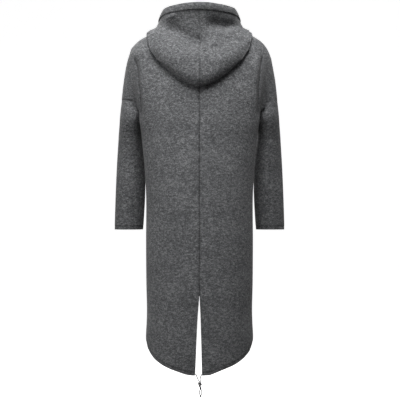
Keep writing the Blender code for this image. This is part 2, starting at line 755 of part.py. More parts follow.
def make_cord(name, knots):
    """A round cord through the knots, with closed ends."""
    curve = bpy.data.curves.new(name, "CURVE")
    curve.dimensions = "3D"
    curve.bevel_depth = CORD_DIAMETER / 2
    curve.bevel_resolution = 2
    curve.use_fill_caps = True
    points = spline_points(knots, [CORD_STEPS] * (len(knots) - 1))
    line = curve.splines.new("POLY")
    line.points.add(len(points) - 1)
    for spot, point in zip(line.points, points):
        spot.co = (*point, 1.0)
    curve.materials.append(make_material(name + "_finish", **CORD))
    piece = bpy.data.objects.new(name, curve)
    bpy.context.scene.collection.objects.link(piece)


def make_knot(name, place):
    """A round knot of the cord."""
    knot = bmesh.new()
    bmesh.ops.create_uvsphere(knot, u_segments=10, v_segments=6, radius=KNOT_DIAMETER / 2)
    bmesh.ops.translate(knot, verts=knot.verts[:], vec=place)
    make_object(name, knot, CORD)


def lock_point(along, up):
    """Place on the tilted cord lock, from its middle: along its length and up its height."""
    x = along * math.cos(LOCK_TILT) - up * math.sin(LOCK_TILT)
    z = along * math.sin(LOCK_TILT) + up * math.cos(LOCK_TILT)
    return np.array([LOCK_X + x, CORD_Y, LOCK_Z + z])


def make_drawcord():
    """The cord's two strands from the hem corners, the lock, the knots and the end loop."""
    face = LOCK_HEIGHT / 2 + LOCK_CLEARANCE
    make_cord(
        "cord_left",
        [
            (VENT_LEFT_WIDTH - 0.0022, CORD_Y - 0.0010, -1.1370),
            (0.0095, CORD_Y, -1.1430),
            (0.0060, CORD_Y, -1.1530),
            lock_point(0.0034, face),
        ],
    )
    make_cord(
        "cord_right",
        [
            (-VENT_RIGHT_WIDTH + 0.0022, CORD_Y - 0.0010, -1.1380),
            (-0.0046, CORD_Y, -1.1450),
            (-0.0020, CORD_Y, -1.1550),
            lock_point(-0.0012, face),
        ],
    )
    lock = bmesh.new()
    bmesh.ops.create_cube(lock, size=1.0)
    bmesh.ops.scale(lock, verts=lock.verts[:], vec=(LOCK_LENGTH, LOCK_DEPTH, LOCK_HEIGHT))
    bmesh.ops.bevel(
        lock, geom=lock.edges[:], offset=LOCK_ROUNDING, segments=3, profile=0.5, affect="EDGES", material=-1
    )
    tilt = Matrix.Rotation(-LOCK_TILT, 4, "Y")
    bmesh.ops.transform(lock, matrix=Matrix.Translation((LOCK_X, CORD_Y, LOCK_Z)) @ tilt, verts=lock.verts[:])
    make_object("cord_lock", lock, LOCK)
    knot_top = KNOT_Z + KNOT_DIAMETER / 2 + CORD_GAP / 2
    knot_side = CORD_DIAMETER / 2 + SEAM_GAP / 2
    for name, sign in (("cord_tail_left", 1), ("cord_tail_right", -1)):
        start = lock_point(sign * TAIL_HALF_GAP, -face)
        make_cord(name, [start, (KNOT_X + sign * TAIL_HALF_GAP, CORD_Y, knot_top)])
    make_knot("cord_knot", (KNOT_X, CORD_Y, KNOT_Z))
    loop_top = KNOT_Z - KNOT_DIAMETER / 2 - CORD_GAP / 2
    loop_end = END_KNOT_Z + KNOT_DIAMETER / 2 + CORD_GAP / 2
    for name, sign in (("cord_loop_left", 1), ("cord_loop_right", -1)):
        make_cord(
            name,
            [
                (KNOT_X + sign * knot_side, CORD_Y, loop_top),
                (KNOT_X + sign * LOOP_HALF_WIDTH, CORD_Y, blend(loop_top, loop_end, 0.5)),
                (KNOT_X + sign * knot_side, CORD_Y, loop_end),
            ],
        )
    make_knot("cord_end", (KNOT_X, CORD_Y, END_KNOT_Z))


def clear_scene():
    """Removes what the startup file holds."""
    for item in list(bpy.data.objects):
        bpy.data.objects.remove(item)


def main():
    """Builds the coat."""
    clear_scene()
    make_cloth()
    make_drawcord()


main()
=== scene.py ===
"""Looks of a hooded boiled wool coat in its worn form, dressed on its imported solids.

Metres, +Z up, in the solids' own frame: the front faces -Y and the wearer's left is +X.
"""

from __future__ import annotations

import logging
import math
from dataclasses import dataclass
from enum import Enum
from typing import Any, Iterable, Sequence

import bmesh
import bpy
import numpy as np
from mathutils import Matrix, Vector, noise
from mathutils.bvhtree import BVHTree
from mathutils.kdtree import KDTree

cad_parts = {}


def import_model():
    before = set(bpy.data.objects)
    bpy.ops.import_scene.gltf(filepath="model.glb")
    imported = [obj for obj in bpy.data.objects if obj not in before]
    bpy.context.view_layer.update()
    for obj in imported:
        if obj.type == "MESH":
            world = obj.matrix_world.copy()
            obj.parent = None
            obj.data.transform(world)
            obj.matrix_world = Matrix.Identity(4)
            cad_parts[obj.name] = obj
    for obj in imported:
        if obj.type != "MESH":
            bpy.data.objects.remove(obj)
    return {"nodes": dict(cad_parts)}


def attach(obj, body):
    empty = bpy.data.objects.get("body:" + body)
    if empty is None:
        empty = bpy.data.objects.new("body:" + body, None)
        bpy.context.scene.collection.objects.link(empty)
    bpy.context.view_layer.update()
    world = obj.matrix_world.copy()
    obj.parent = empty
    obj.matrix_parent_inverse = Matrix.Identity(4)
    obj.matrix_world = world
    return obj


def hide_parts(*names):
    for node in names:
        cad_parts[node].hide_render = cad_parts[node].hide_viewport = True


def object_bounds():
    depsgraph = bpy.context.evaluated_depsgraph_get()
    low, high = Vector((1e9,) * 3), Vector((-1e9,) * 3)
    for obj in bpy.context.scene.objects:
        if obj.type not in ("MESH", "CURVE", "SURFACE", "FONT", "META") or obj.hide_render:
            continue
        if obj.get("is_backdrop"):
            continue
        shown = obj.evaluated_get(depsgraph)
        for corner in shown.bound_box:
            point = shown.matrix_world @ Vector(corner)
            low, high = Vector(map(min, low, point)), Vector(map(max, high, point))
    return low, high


LOG = logging.getLogger("coat")
BODY = "root"
WELD_DISTANCE = 1e-6
SHARP_EDGE = math.radians(65.0)
FLAT_PAIR = math.radians(40.0)
QUAD_SHAPE = math.radians(70.0)
RIM_BREADTH = 0.007
REFINE_WIDTHS = (0.012, 0.005)
REFINE_SHARE = 0.06
# Point attribute of painted shade: how much darker the colour is made along seams, creases and stitch grooves.
PAINTED_CREASE_SHADE = "painted_crease_shade"
ARM_DROPS = (0.03, 0.22, 0.664)
ARM_MIDDLES = (0.0, -0.030, -0.076)
ARM_SPAN = (0.19, 0.24)
SIDE_BLEND = 0.03
LAYER_DEPTHS = (0.006, 0.014)
SEWN_REACH = 0.00035
SLEEVE_REACH = 0.0016
HOOD_SEAM_WIDTH = 0.003
HOOD_SEAM_DEPTH = 0.0002

Colour = tuple[float, float, float]
Point = tuple[float, float, float]
FlatPoint = tuple[float, float]


class Shade:
    """A number in a shader, whose arithmetic adds the Math nodes that it needs."""

    def __init__(self, recipe: Recipe, socket: bpy.types.NodeSocket) -> None:
        """Wraps one output socket of a recipe's node."""
        self.recipe = recipe
        self.socket = socket

    def _math(self, operation: str, first: Any, second: Any) -> Shade:
        """Adds one Math node on two values."""
        node = self.recipe.node("ShaderNodeMath", {"operation": operation}, {0: first, 1: second})
        return Shade(self.recipe, node.outputs[0])

    def __add__(self, other: Any) -> Shade:
        """Sum with a number or another shade."""
        return self._math("ADD", self, other)

    def __radd__(self, other: Any) -> Shade:
        """Sum with a number on the left."""
        return self._math("ADD", other, self)

    def __sub__(self, other: Any) -> Shade:
        """Difference from a number or another shade."""
        return self._math("SUBTRACT", self, other)

    def __rsub__(self, other: Any) -> Shade:
        """Difference from a number on the left."""
        return self._math("SUBTRACT", other, self)

    def __mul__(self, other: Any) -> Shade:
        """Product with a number or another shade."""
        return self._math("MULTIPLY", self, other)

    def __rmul__(self, other: Any) -> Shade:
        """Product with a number on the left."""
        return self._math("MULTIPLY", other, self)


class Recipe:
    """A material's node tree round one Principled shader."""

    def __init__(self, name: str) -> None:
        """Starts an empty material of that name."""
        self.material = bpy.data.materials.new(name)
        self.material.use_nodes = True
        self.tree = self.material.node_tree
        self.tree.nodes.clear()
        self.shader = self.node("ShaderNodeBsdfPrincipled")
        self.node("ShaderNodeOutputMaterial", inputs={"Surface": self.shader.outputs[0]})

    def node(
        self, kind: str, settings: dict[str, Any] | None = None, inputs: dict[Any, Any] | None = None
    ) -> bpy.types.Node:
        """Adds one node.

        Args:
            kind: the node's type.
            settings: its own settings, set first; "stops" gives a ramp's positions and colours.
            inputs: values, sockets or shades for its inputs, by name or number.

        Returns:
            The new node.
        """
        node = self.tree.nodes.new(kind)
        for name, value in (settings or {}).items():
            if name == "stops":
                self._set_stops(node.color_ramp, value)
            else:
                setattr(node, name, value)
        for name, value in (inputs or {}).items():
            self.feed(node.inputs[name], value)
        return node

    def feed(self, socket: bpy.types.NodeSocket, value: Any) -> None:
        """Links a socket to a shade or another socket, or sets its value."""
        source = value.socket if isinstance(value, Shade) else value
        if isinstance(source, bpy.types.NodeSocket):
            self.tree.links.new(source, socket)
        else:
            socket.default_value = source

    def place(self, stretch: Point = (1.0, 1.0, 1.0)) -> bpy.types.NodeSocket:
        """Object coordinates, stretched along each axis."""
        coordinates = self.node("ShaderNodeTexCoord")
        mapping = self.node(
            "ShaderNodeMapping",
            {"vector_type": "POINT"},
            {"Vector": coordinates.outputs["Object"], "Scale": stretch},
        )
        return mapping.outputs[0]

    def noise(self, place: bpy.types.NodeSocket, grain: float, detail: float, roughness: float) -> Shade:
        """A noise whose blots are about one grain across, in metres."""
        node = self.node(
            "ShaderNodeTexNoise",
            inputs={"Vector": place, "Scale": 1.0 / grain, "Detail": detail, "Roughness": roughness},
        )
        return Shade(self, node.outputs[0])

    def ramp(self, value: Shade, stops: Sequence[tuple[float, Colour]]) -> bpy.types.NodeSocket:
        """Colours picked by a value."""
        return self.node("ShaderNodeValToRGB", {"stops": stops}, {0: value}).outputs[0]

    def bump(self, height: Shade, distance: float, strength: float) -> bpy.types.NodeSocket:
        """A normal that follows a height, given in distances of metres."""
        settings = {"Height": height, "Distance": distance, "Strength": strength}
        return self.node("ShaderNodeBump", inputs=settings).outputs[0]

    def set_shader(self, **inputs: Any) -> None:
        """Feeds the Principled shader's inputs, with _ for spaces in their names."""
        for name, value in inputs.items():
            self.feed(self.shader.inputs[name.replace("_", " ")], value)

    @staticmethod
    def _set_stops(ramp: bpy.types.ColorRamp, stops: Sequence[tuple[float, Colour]]) -> None:
        """Sets a ramp's stops, in order."""
        while len(ramp.elements) < len(stops):
            ramp.elements.new(1.0)
        for element, (position, colour) in zip(ramp.elements, stops):
            element.position = position
            element.color = (*colour, 1.0)


@dataclass(frozen=True)
class MelangeWool:
    """Felted wool of dark, middle and light fibres with a dull pebbled nap, darkened by painted seam shade."""

    name: str
    dark: Colour = (0.022, 0.0225, 0.0235)
    middle: Colour = (0.098, 0.100, 0.104)
    light: Colour = (0.310, 0.314, 0.322)
    fleck: float = 0.0036
    clump: float = 0.0085
    drift: float = 0.085
    streak: Point = (0.8, 0.8, 1.35)
    relief: float = 0.0011
    # How far the painted shade in seams, creases and stitch grooves darkens the colour.
    painted_shade_strength: float = 0.14

    def material(self) -> bpy.types.Material:
        """The finished material."""
        recipe = Recipe(self.name)
        place = recipe.place(self.streak)
        fleck = recipe.noise(place, self.fleck, 2.0, 0.7)
        clump = recipe.noise(place, self.clump, 2.0, 0.6)
        drift = recipe.noise(place, self.drift, 2.0, 0.5)
        # Painted shade: the wool is coloured darker along seams, creases and stitch grooves, where their shadow
        # falls.
        painted_crease_shade = Shade(recipe, recipe.node("ShaderNodeAttribute", {"attribute_name": PAINTED_CREASE_SHADE}).outputs["Fac"])
        tone = fleck * 0.55 + clump * 0.35 + drift * 0.10 - painted_crease_shade * self.painted_shade_strength
        colour = recipe.ramp(tone, ((0.32, self.dark), (0.50, self.middle), (0.71, self.light)))
        pebble = fleck * 0.6 + clump * 0.8
        recipe.set_shader(
            Base_Color=colour,
            Roughness=0.96,
            Specular_IOR_Level=0.12,
            Sheen_Weight=0.12,
            Sheen_Roughness=0.55,
            Normal=recipe.bump(pebble, self.relief, 0.55),
        )
        return recipe.material


@dataclass(frozen=True)
class BraidedCord:
    """A thin round braid of grey yarn."""

    name: str
    dark: Colour = (0.012, 0.012, 0.013)
    light: Colour = (0.070, 0.070, 0.072)
    plait: float = 0.0011
    relief: float = 0.0003

    def material(self) -> bpy.types.Material:
        """The finished material."""
        recipe = Recipe(self.name)
        place = recipe.place()
        strands = []
        for lean in (1.0, -1.0):
            turned = recipe.place((1.0, lean, 1.0))
            wave = recipe.node(
                "ShaderNodeTexWave",
                {"wave_type": "BANDS", "bands_direction": "DIAGONAL"},
                {"Vector": turned, "Scale": 0.16 / self.plait, "Distortion": 0.6},
            )
            strands.append(Shade(recipe, wave.outputs["Fac"]))
        braid = strands[0] * strands[1]
        fibres = recipe.noise(place, 0.0006, 2.0, 0.6)
        tone = braid * 0.75 + fibres * 0.35
        recipe.set_shader(
            Base_Color=recipe.ramp(tone, ((0.15, self.dark), (0.75, self.light))),
            Roughness=0.8,
            Specular_IOR_Level=0.25,
            Normal=recipe.bump(tone, self.relief, 0.6),
        )
        return recipe.material


@dataclass(frozen=True)
class MouldedPlastic:
    """Black moulded plastic with a fine spark-worn grain."""

    name: str
    black: Colour = (0.010, 0.010, 0.011)
    worn: Colour = (0.026, 0.026, 0.028)
    grain: float = 0.0005

    def material(self) -> bpy.types.Material:
        """The finished material."""
        recipe = Recipe(self.name)
        place = recipe.place()
        grain = recipe.noise(place, self.grain, 2.0, 0.6)
        wear = recipe.noise(place, self.grain * 8.0, 3.0, 0.6)
        recipe.set_shader(
            Base_Color=recipe.ramp(wear, ((0.4, self.black), (0.75, self.worn))),
            Roughness=grain * 0.2 + 0.32,
            Normal=recipe.bump(grain, 0.0001, 0.4),
        )
        return recipe.material


@dataclass(frozen=True)
class SewingThread:
    """Dull spun thread, a little darker than the wool."""

    name: str
    dark: Colour = (0.030, 0.030, 0.032)
    light: Colour = (0.085, 0.086, 0.089)
    twist: float = 0.0006

    def material(self) -> bpy.types.Material:
        """The finished material."""
        recipe = Recipe(self.name)
        ply = recipe.noise(recipe.place((1.0, 1.0, 2.0)), self.twist, 2.0, 0.5)
        recipe.set_shader(
            Base_Color=recipe.ramp(ply, ((0.35, self.dark), (0.70, self.light))),
            Roughness=0.75,
            Specular_IOR_Level=0.3,
            Normal=recipe.bump(ply, 0.0002, 0.5),
        )
        return recipe.material


@dataclass(frozen=True)
class StudioPaper:
    """Matt white paper of the studio's floor and backdrop."""

    name: str
    white: Colour = (0.93, 0.93, 0.93)
    shade: Colour = (0.90, 0.90, 0.90)
    glow: float = 0.85

    def material(self) -> bpy.types.Material:
        """The finished material."""
        recipe = Recipe(self.name)
        tone = recipe.noise(recipe.place(), 0.5, 2.0, 0.5)
        recipe.set_shader(
            Base_Color=recipe.ramp(tone, ((0.3, self.shade), (0.7, self.white))),
            Roughness=0.9,
            Emission_Color=(1.0, 1.0, 1.0, 1.0),
            Emission_Strength=self.glow,
        )
        return recipe.material


def smooth_step(low: float, high: float, values: np.ndarray) -> np.ndarray:
    """Soft ramp from 0 at low to 1 at high."""
    share = np.clip((values - low) / (high - low), 0.0, 1.0)
    return share * share * (3.0 - 2.0 * share)


def soft_curve(points: Sequence[Sequence[float]], steps: int) -> np.ndarray:
    """Points on a smooth curve through the given ones.

    Args:
        points: the points that the curve passes through.
        steps: steps from each of them to the next.

    Returns:
        The curve's points, one row each.
    """
    knots = np.array(points, float)
    padded = np.vstack([2 * knots[0] - knots[1], knots, 2 * knots[-1] - knots[-2]])
    curve = [knots[0]]
    for a, b, c, d in zip(padded, padded[1:], padded[2:], padded[3:]):
        for step in range(1, steps + 1):
            t = step / steps
            bend = 2 * b + (c - a) * t + (2 * a - 5 * b + 4 * c - d) * t**2 + (3 * b - a - 3 * c + d) * t**3
            curve.append(bend / 2)
    return np.array(curve)


def new_object(name: str, shape: bmesh.types.BMesh) -> bpy.types.Object:
    """Makes a smooth-shaded object of a bmesh and frees the bmesh."""
    mesh = bpy.data.meshes.new(name)
    shape.to_mesh(mesh)
    shape.free()
    mesh.shade_smooth()
    piece = bpy.data.objects.new(name, mesh)
    bpy.context.scene.collection.objects.link(piece)
    return piece


def bake_modifiers(piece: bpy.types.Object) -> None:
    """Puts a piece's modifiers into its mesh."""
    evaluated = piece.evaluated_get(bpy.context.evaluated_depsgraph_get())
    plain = piece.data
    piece.data = bpy.data.meshes.new_from_object(evaluated)
    piece.data.name = plain.name
    piece.modifiers.clear()
    bpy.data.meshes.remove(plain)


def read_points(mesh: bpy.types.Mesh) -> np.ndarray:
    """A mesh's vertices, one row each."""
    flat = np.zeros(len(mesh.vertices) * 3, np.float32)
    mesh.vertices.foreach_get("co", flat)
    return flat.reshape(-1, 3).astype(float)


def read_normals(mesh: bpy.types.Mesh) -> np.ndarray:
    """A mesh's vertex normals, one row each."""
    flat = np.zeros(len(mesh.vertices) * 3, np.float32)
    mesh.vertex_normals.foreach_get("vector", flat)
    return flat.reshape(-1, 3).astype(float)


def write_points(mesh: bpy.types.Mesh, points: np.ndarray) -> None:
    """Moves a mesh's vertices to the given rows."""
    mesh.vertices.foreach_set("co", points.astype(np.float32).ravel())
    mesh.update()


def welded(mesh: bpy.types.Mesh) -> bmesh.types.BMesh:
    """A solid's mesh with its corners merged and its triangles paired."""
    shape = bmesh.new()
    shape.from_mesh(mesh)
    bmesh.ops.remove_doubles(shape, verts=shape.verts, dist=WELD_DISTANCE)
    bmesh.ops.join_triangles(
        shape,
        faces=shape.faces,
        angle_face_threshold=FLAT_PAIR,
        angle_shape_threshold=QUAD_SHAPE,
    )
    return shape


def mesh_tree(mesh: bpy.types.Mesh) -> BVHTree:
    """A search tree of a mesh's faces."""
    return BVHTree.FromPolygons(
        [vertex.co for vertex in mesh.vertices], [tuple(face.vertices) for face in mesh.polygons]
    )


def sharp_edges(shape: bmesh.types.BMesh) -> list[bmesh.types.BMEdge]:
    """The edges between a wall and its rim."""
    return [edge for edge in shape.edges if edge.calc_face_angle(0.0) > SHARP_EDGE]


def rim_faces(shape: bmesh.types.BMesh) -> list[bmesh.types.BMFace]:
    """The narrow faces that join a shell's two walls."""
    sharp = set(sharp_edges(shape))
    found = []
    for face in shape.faces:
        lengths = [edge.calc_length() for edge in face.edges if edge in sharp]
        if lengths:
            breadth = face.calc_area() / max(lengths)
            if breadth * (2.0 if len(face.verts) == 3 else 1.0) < RIM_BREADTH:
                found.append(face)
    return found


def sink_seams(shape: bmesh.types.BMesh, width: float, depth: float) -> None:
    """Thins a shell towards its rim, so that a soft groove runs along each seam.

    Args:
        shape: the welded shell.
        width: how far from the rim the groove starts.
        depth: how far each wall sinks at the rim.
    """
    rims = set(rim_faces(shape))
    corners = {vertex for face in rims for vertex in face.verts}
    sunk = {}
    for vertex in corners:
        normals = [face.normal for face in vertex.link_faces if face not in rims]
        if normals:
            sunk[vertex] = vertex.co - sum(normals, Vector()).normalized() * depth
    walls = [face for face in shape.faces if face not in rims]
    bmesh.ops.inset_region(shape, faces=walls, thickness=width, use_even_offset=True, use_boundary=True)
    for vertex, place in sunk.items():
        vertex.co = place


def widen_rim(shape: bmesh.types.BMesh, amount: float) -> None:
    """Moves a shell's rim outwards in its own surface, so that sewn neighbours meet.

    Args:
        shape: the welded shell.
        amount: how far the rim moves.
    """
    around: dict[bmesh.types.BMVert, list[Vector]] = {}
    for face in rim_faces(shape):
        for vertex in face.verts:
            around.setdefault(vertex, []).append(face.normal.copy())
    for vertex, normals in around.items():
        shift = np.linalg.pinv(np.array(normals), rcond=0.3) @ np.full(len(normals), amount)
        vertex.co += Vector(shift)


class Face(Enum):
    """The side of the coat on which a fold lies."""

    BACK = 1.0
    FRONT = -1.0


class Profile(Enum):
    """How a fold falls away from its line."""

    SOFT = 2.0
    SHARP = 1.0


@dataclass(frozen=True)
class Fold:
    """A trough or ridge of the cloth along a line seen from the back or the front.

    The line holds (x, z) points. A positive height stands out and a negative one sinks in. The shade is painted
    shade: how much darker the wool is coloured along the line, in place of the shadow in its seam or crease.
    """

    line: tuple[FlatPoint, ...]
    height: float
    width: float
    fade: float = 0.3
    profile: Profile = Profile.SOFT
    # Painted shade along the line, from 0 to 1.
    shade: float = 0.0
    face: Face = Face.BACK

    def curve(self) -> np.ndarray:
        """The fold's line as closely spaced points."""
        return soft_curve(self.line, 8)

    def heights(self, points: np.ndarray) -> np.ndarray:
        """How far the fold moves each point out.

        Args:
            points: the cloth's points, one row each.

        Returns:
            A height for each point.
        """
        flat = points[:, [0, 2]]
        curve = self.curve()
        steps = np.linalg.norm(np.diff(curve, axis=0), axis=1)
        reached = np.concatenate([[0.0], np.cumsum(steps)]) / steps.sum()
        nearest = np.full(len(flat), np.inf)
        along = np.zeros(len(flat))
        for start, end, low, high in zip(curve, curve[1:], reached, reached[1:]):
            run = end - start
            share = np.clip((flat - start) @ run / (run @ run), 0.0, 1.0)
            distance = np.linalg.norm(flat - start - share[:, None] * run, axis=1)
            closer = distance < nearest
            nearest[closer] = distance[closer]
            along[closer] = (low + (high - low) * share)[closer]
        ends = smooth_step(0.0, self.fade, along) * smooth_step(0.0, self.fade, 1.0 - along)
        fall = np.exp(-((nearest / self.width) ** self.profile.value))
        return self.height * fall * ends


def side_weight(points: np.ndarray, face: Face) -> np.ndarray:
    """How far each point belongs to the back or the front of the coat, from 0 to 1."""
    arm_middle = np.interp(-points[:, 2], ARM_DROPS, ARM_MIDDLES)
    middle = arm_middle * smooth_step(*ARM_SPAN, np.abs(points[:, 0]))
    return smooth_step(0.0, SIDE_BLEND, face.value * (points[:, 1] - middle))


@dataclass(frozen=True)
class SheetCut:
    """The flat size that a piece of cloth was cut to."""

    width: float
    length: float
    area: float
    held: str = "hung"


@dataclass
class ClothPanel:
    """One cut piece of wool as a soft-edged shell on its solid."""

    node: str
    slot: str
    cut: SheetCut
    finish: bpy.types.Material
    folds: tuple[Fold, ...] = ()
    edge_round: float = 0.0009
    seam_reach: float = SEWN_REACH
    seam_width: float = 0.0060
    seam_depth: float = 0.0012
    stitch_line: Sequence[Vector] = ()
    press_depth: float = 0.0009
    press_width: float = 0.0024
    # How far painted shade darkens the colour along the stitch groove.
    painted_stitch_shade: float = 0.7
    levels: int = 2
    swell: float = 0.0012
    swell_size: float = 0.09
    front_layer_only: bool = False

    def build(self, nodes: dict[str, bpy.types.Object]) -> bpy.types.Object:
        """Makes the shell.

        Args:
            nodes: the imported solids, by name.

        Returns:
            The shell, in the place of its solid.
        """
        shape = welded(nodes[self.node].data)
        shape.normal_update()
        widen_rim(shape, self.seam_reach)
        sink_seams(shape, self.seam_width, self.seam_depth)
        shape.normal_update()
        bmesh.ops.bevel(
            shape,
            geom=sharp_edges(shape),
            offset=self.edge_round,
            segments=1,
            profile=0.5,
            affect="EDGES",
            material=-1,
            clamp_overlap=True,
        )
        piece = new_object("wool_" + self.node, shape)
        rounding = piece.modifiers.new("rounding", "SUBSURF")
        rounding.levels = rounding.render_levels = self.levels
        bake_modifiers(piece)
        self._refine(piece.data)
        self._press(piece.data)
        self._fold(piece.data)
        piece.data.shade_smooth()
        return piece

    def _refine(self, mesh: bpy.types.Mesh) -> None:
        """Halves the cloth's mesh where narrow folds and stitches run, twice along the narrowest."""
        for limit in REFINE_WIDTHS:
            points = read_points(mesh)
            near = self._stitch_distance(points) < limit
            for fold in self.folds:
                if fold.width < limit:
                    reach = np.abs(fold.heights(points)) * side_weight(points, fold.face)
                    near |= reach > REFINE_SHARE * abs(fold.height)
            shape = bmesh.new()
            shape.from_mesh(mesh)
            shape.verts.ensure_lookup_table()
            chosen = [edge for edge in shape.edges if near[edge.verts[0].index] and near[edge.verts[1].index]]
            bmesh.ops.subdivide_edges(shape, edges=chosen, cuts=1, use_grid_fill=True)
            shape.to_mesh(mesh)
            shape.free()

    def _stitch_distance(self, points: np.ndarray) -> np.ndarray:
        """How far each point lies from the panel's row of stitches."""
        if not self.stitch_line:
            return np.full(len(points), np.inf)
        tree = KDTree(len(self.stitch_line))
        for index, spot in enumerate(self.stitch_line):
            tree.insert(spot, index)
        tree.balance()
        return np.array([tree.find(point)[2] for point in points])

    def _press(self, mesh: bpy.types.Mesh) -> None:
        """Presses a shallow groove under the row of stitches."""
        points = read_points(mesh)
        depth = self.press_depth * np.exp(-((self._stitch_distance(points) / self.press_width) ** 2))
        write_points(mesh, points - read_normals(mesh) * depth[:, None])

    def _fold(self, mesh: bpy.types.Mesh) -> None:
        """Lays the folds and the cloth's uneven hang into the mesh, and stores the painted shade of stitches
        and folds.
        """
        points = read_points(mesh)
        shown = self._shown_layer(mesh, points) if self.front_layer_only else np.ones(len(points))
        # Painted shade: the colour darkens under the stitches and along shaded folds, in place of their
        # grooves' shadow.
        painted_crease_shade = self.painted_stitch_shade * np.exp(-((self._stitch_distance(points) / self.press_width) ** 2))
        moved = points.copy()
        uneven = np.array([self._unevenness(point) for point in points])
        for face in Face:
            height = uneven.copy()
            weight = side_weight(points, face) * shown
            for fold in self.folds:
                if fold.face is face:
                    rise = fold.heights(points)
                    height += rise
                    painted_crease_shade = np.maximum(painted_crease_shade, fold.shade * rise / fold.height * weight)
            moved[:, 1] += face.value * height * weight
        write_points(mesh, moved)
        mesh.attributes.new(PAINTED_CREASE_SHADE, "FLOAT", "POINT").data.foreach_set("value", painted_crease_shade.astype(np.float32))

    def _unevenness(self, point: np.ndarray) -> float:
        """The small uneven swell of hanging felt at one point."""
        place = Vector((point[0], 0.0, point[2] * 0.6)) / self.swell_size
        return self.swell * noise.noise(place)

    @staticmethod
    def _shown_layer(mesh: bpy.types.Mesh, points: np.ndarray) -> np.ndarray:
        """1 for points of the layer that shows from the back, and 0 for those hidden behind it."""
        tree = mesh_tree(mesh)
        depth = np.zeros(len(points))
        for index, (x, _, z) in enumerate(points):
            hit = tree.ray_cast(Vector((x, 1.0, z)), Vector((0.0, -1.0, 0.0)))[0]
            depth[index] = 0.0 if hit is None else hit.y - points[index, 1]
        return 1.0 - smooth_step(*LAYER_DEPTHS, depth)

    def dress(self, piece: bpy.types.Object) -> None:
        """Gives the shell its finish and body, and hides its solid."""
        piece.data.materials.clear()
        piece.data.materials.append(self.finish)
        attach(piece, BODY)
        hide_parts(self.node)


@dataclass
class SeamStitching:
    """A row of machine stitches along the lower edge of panels."""

    name: str
    axis: FlatPoint
    rise: float = 0.0098
    pitch: float = 0.0042
    length: float = 0.0031
    thickness: float = 0.0010
    below: float = -0.60
    down: float = -0.55
    outer: float = 0.7

    def edge(self, node: bpy.types.Object) -> list[Vector]:
        """The outer lower edge of a panel, in order round the axis.

        Args:
            node: the panel's solid.

        Returns:
            The edge's points.
        """
        shape = welded(node.data)
        shape.normal_update()
        found: dict[int, Vector] = {}
        for edge in sharp_edges(shape):
            rim, wall = sorted(edge.link_faces, key=lambda face: face.normal.z)
            middle = (edge.verts[0].co + edge.verts[1].co) / 2
            outward = Vector((middle.x - self.axis[0], middle.y - self.axis[1], 0.0)).normalized()
            lowest = middle.z < self.below and rim.normal.z < self.down
            if lowest and wall.normal.dot(outward) > self.outer:
                found.update({vertex.index: vertex.co.copy() for vertex in edge.verts})
        shape.free()
        return sorted(found.values(), key=self._turn)

    def _turn(self, point: Vector) -> float:
        """A point's angle round the axis, from 0 at the back."""
        return math.atan2(point.x - self.axis[0], point.y - self.axis[1]) % math.tau

    def line(self, node: bpy.types.Object, closed: bool) -> list[Vector]:
        """Middles of the stitches on a panel's solid.

        Args:
            node: the panel's solid.
            closed: whether its lower edge goes all round.

        Returns:
            The stitches' places, in order.
        """
        edge = self.edge(node)
        curve = [Vector(row) for row in soft_curve([*edge, edge[0]] if closed else edge, 6)]
        tree = mesh_tree(node.data)
        places = []
        waiting = self.pitch / 2
        for start, end in zip(curve, curve[1:]):
            run = end - start
            along = run.normalized()
            while waiting <= run.length:
                at = start + along * waiting
                outward = Vector((at.x - self.axis[0], at.y - self.axis[1], 0.0)).normalized()
                rise = outward.cross(along).normalized()
                rise = rise if rise.z > 0.0 else -rise
                places.append(tree.find_nearest(at + rise * self.rise + outward * self.thickness * 4.0)[0])
                waiting += self.pitch
            waiting -= run.length
        return places

    def sew(self, places: Sequence[Vector], shell: bpy.types.Object) -> list[tuple[Vector, Vector, Vector]]:
        """Lays stitches on a finished shell.

        Args:
            places: the stitches' middles on the solid.
            shell: the finished shell.

        Returns:
            For each stitch its place, the cloth's normal there and the way it runs.
        """
        tree = mesh_tree(shell.data)
        sewn = []
        for index, place in enumerate(places):
            spot, normal, _, _ = tree.find_nearest(place)
            along = places[min(index + 1, len(places) - 1)] - places[max(index - 1, 0)]
            sewn.append((spot, normal, along.normalized()))
        return sewn

    def build(self, places: Iterable[tuple[Vector, Vector, Vector]]) -> bpy.types.Object:
        """Joins the stitches into one piece.

        Args:
            places: each stitch's place, normal and run.

        Returns:
            The row of stitches.
        """
        stitch = bmesh.new()
        size = Matrix.Diagonal((self.length / 2, self.thickness / 2, self.thickness / 2, 1.0))
        bmesh.ops.create_uvsphere(stitch, u_segments=6, v_segments=5, radius=1.0, matrix=size)
        sewn = bpy.data.meshes.new("stitch")
        shape = bmesh.new()
        for spot, normal, along in places:
            side = normal.cross(along).normalized()
            run = side.cross(normal).normalized()
            turn = Matrix((run, side, normal)).transposed().to_4x4()
            seat = Matrix.Translation(spot + normal * self.thickness * 0.15)
            placed = stitch.copy()
            placed.transform(seat @ turn)
            placed.to_mesh(sewn)
            placed.free()
            shape.from_mesh(sewn)
        stitch.free()
        bpy.data.meshes.remove(sewn)
        return new_object(self.name, shape)

    def dress(self, piece: bpy.types.Object, finish: bpy.types.Material) -> None:
        """Gives the stitches their thread and body."""
        piece.data.materials.append(finish)
        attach(piece, BODY)


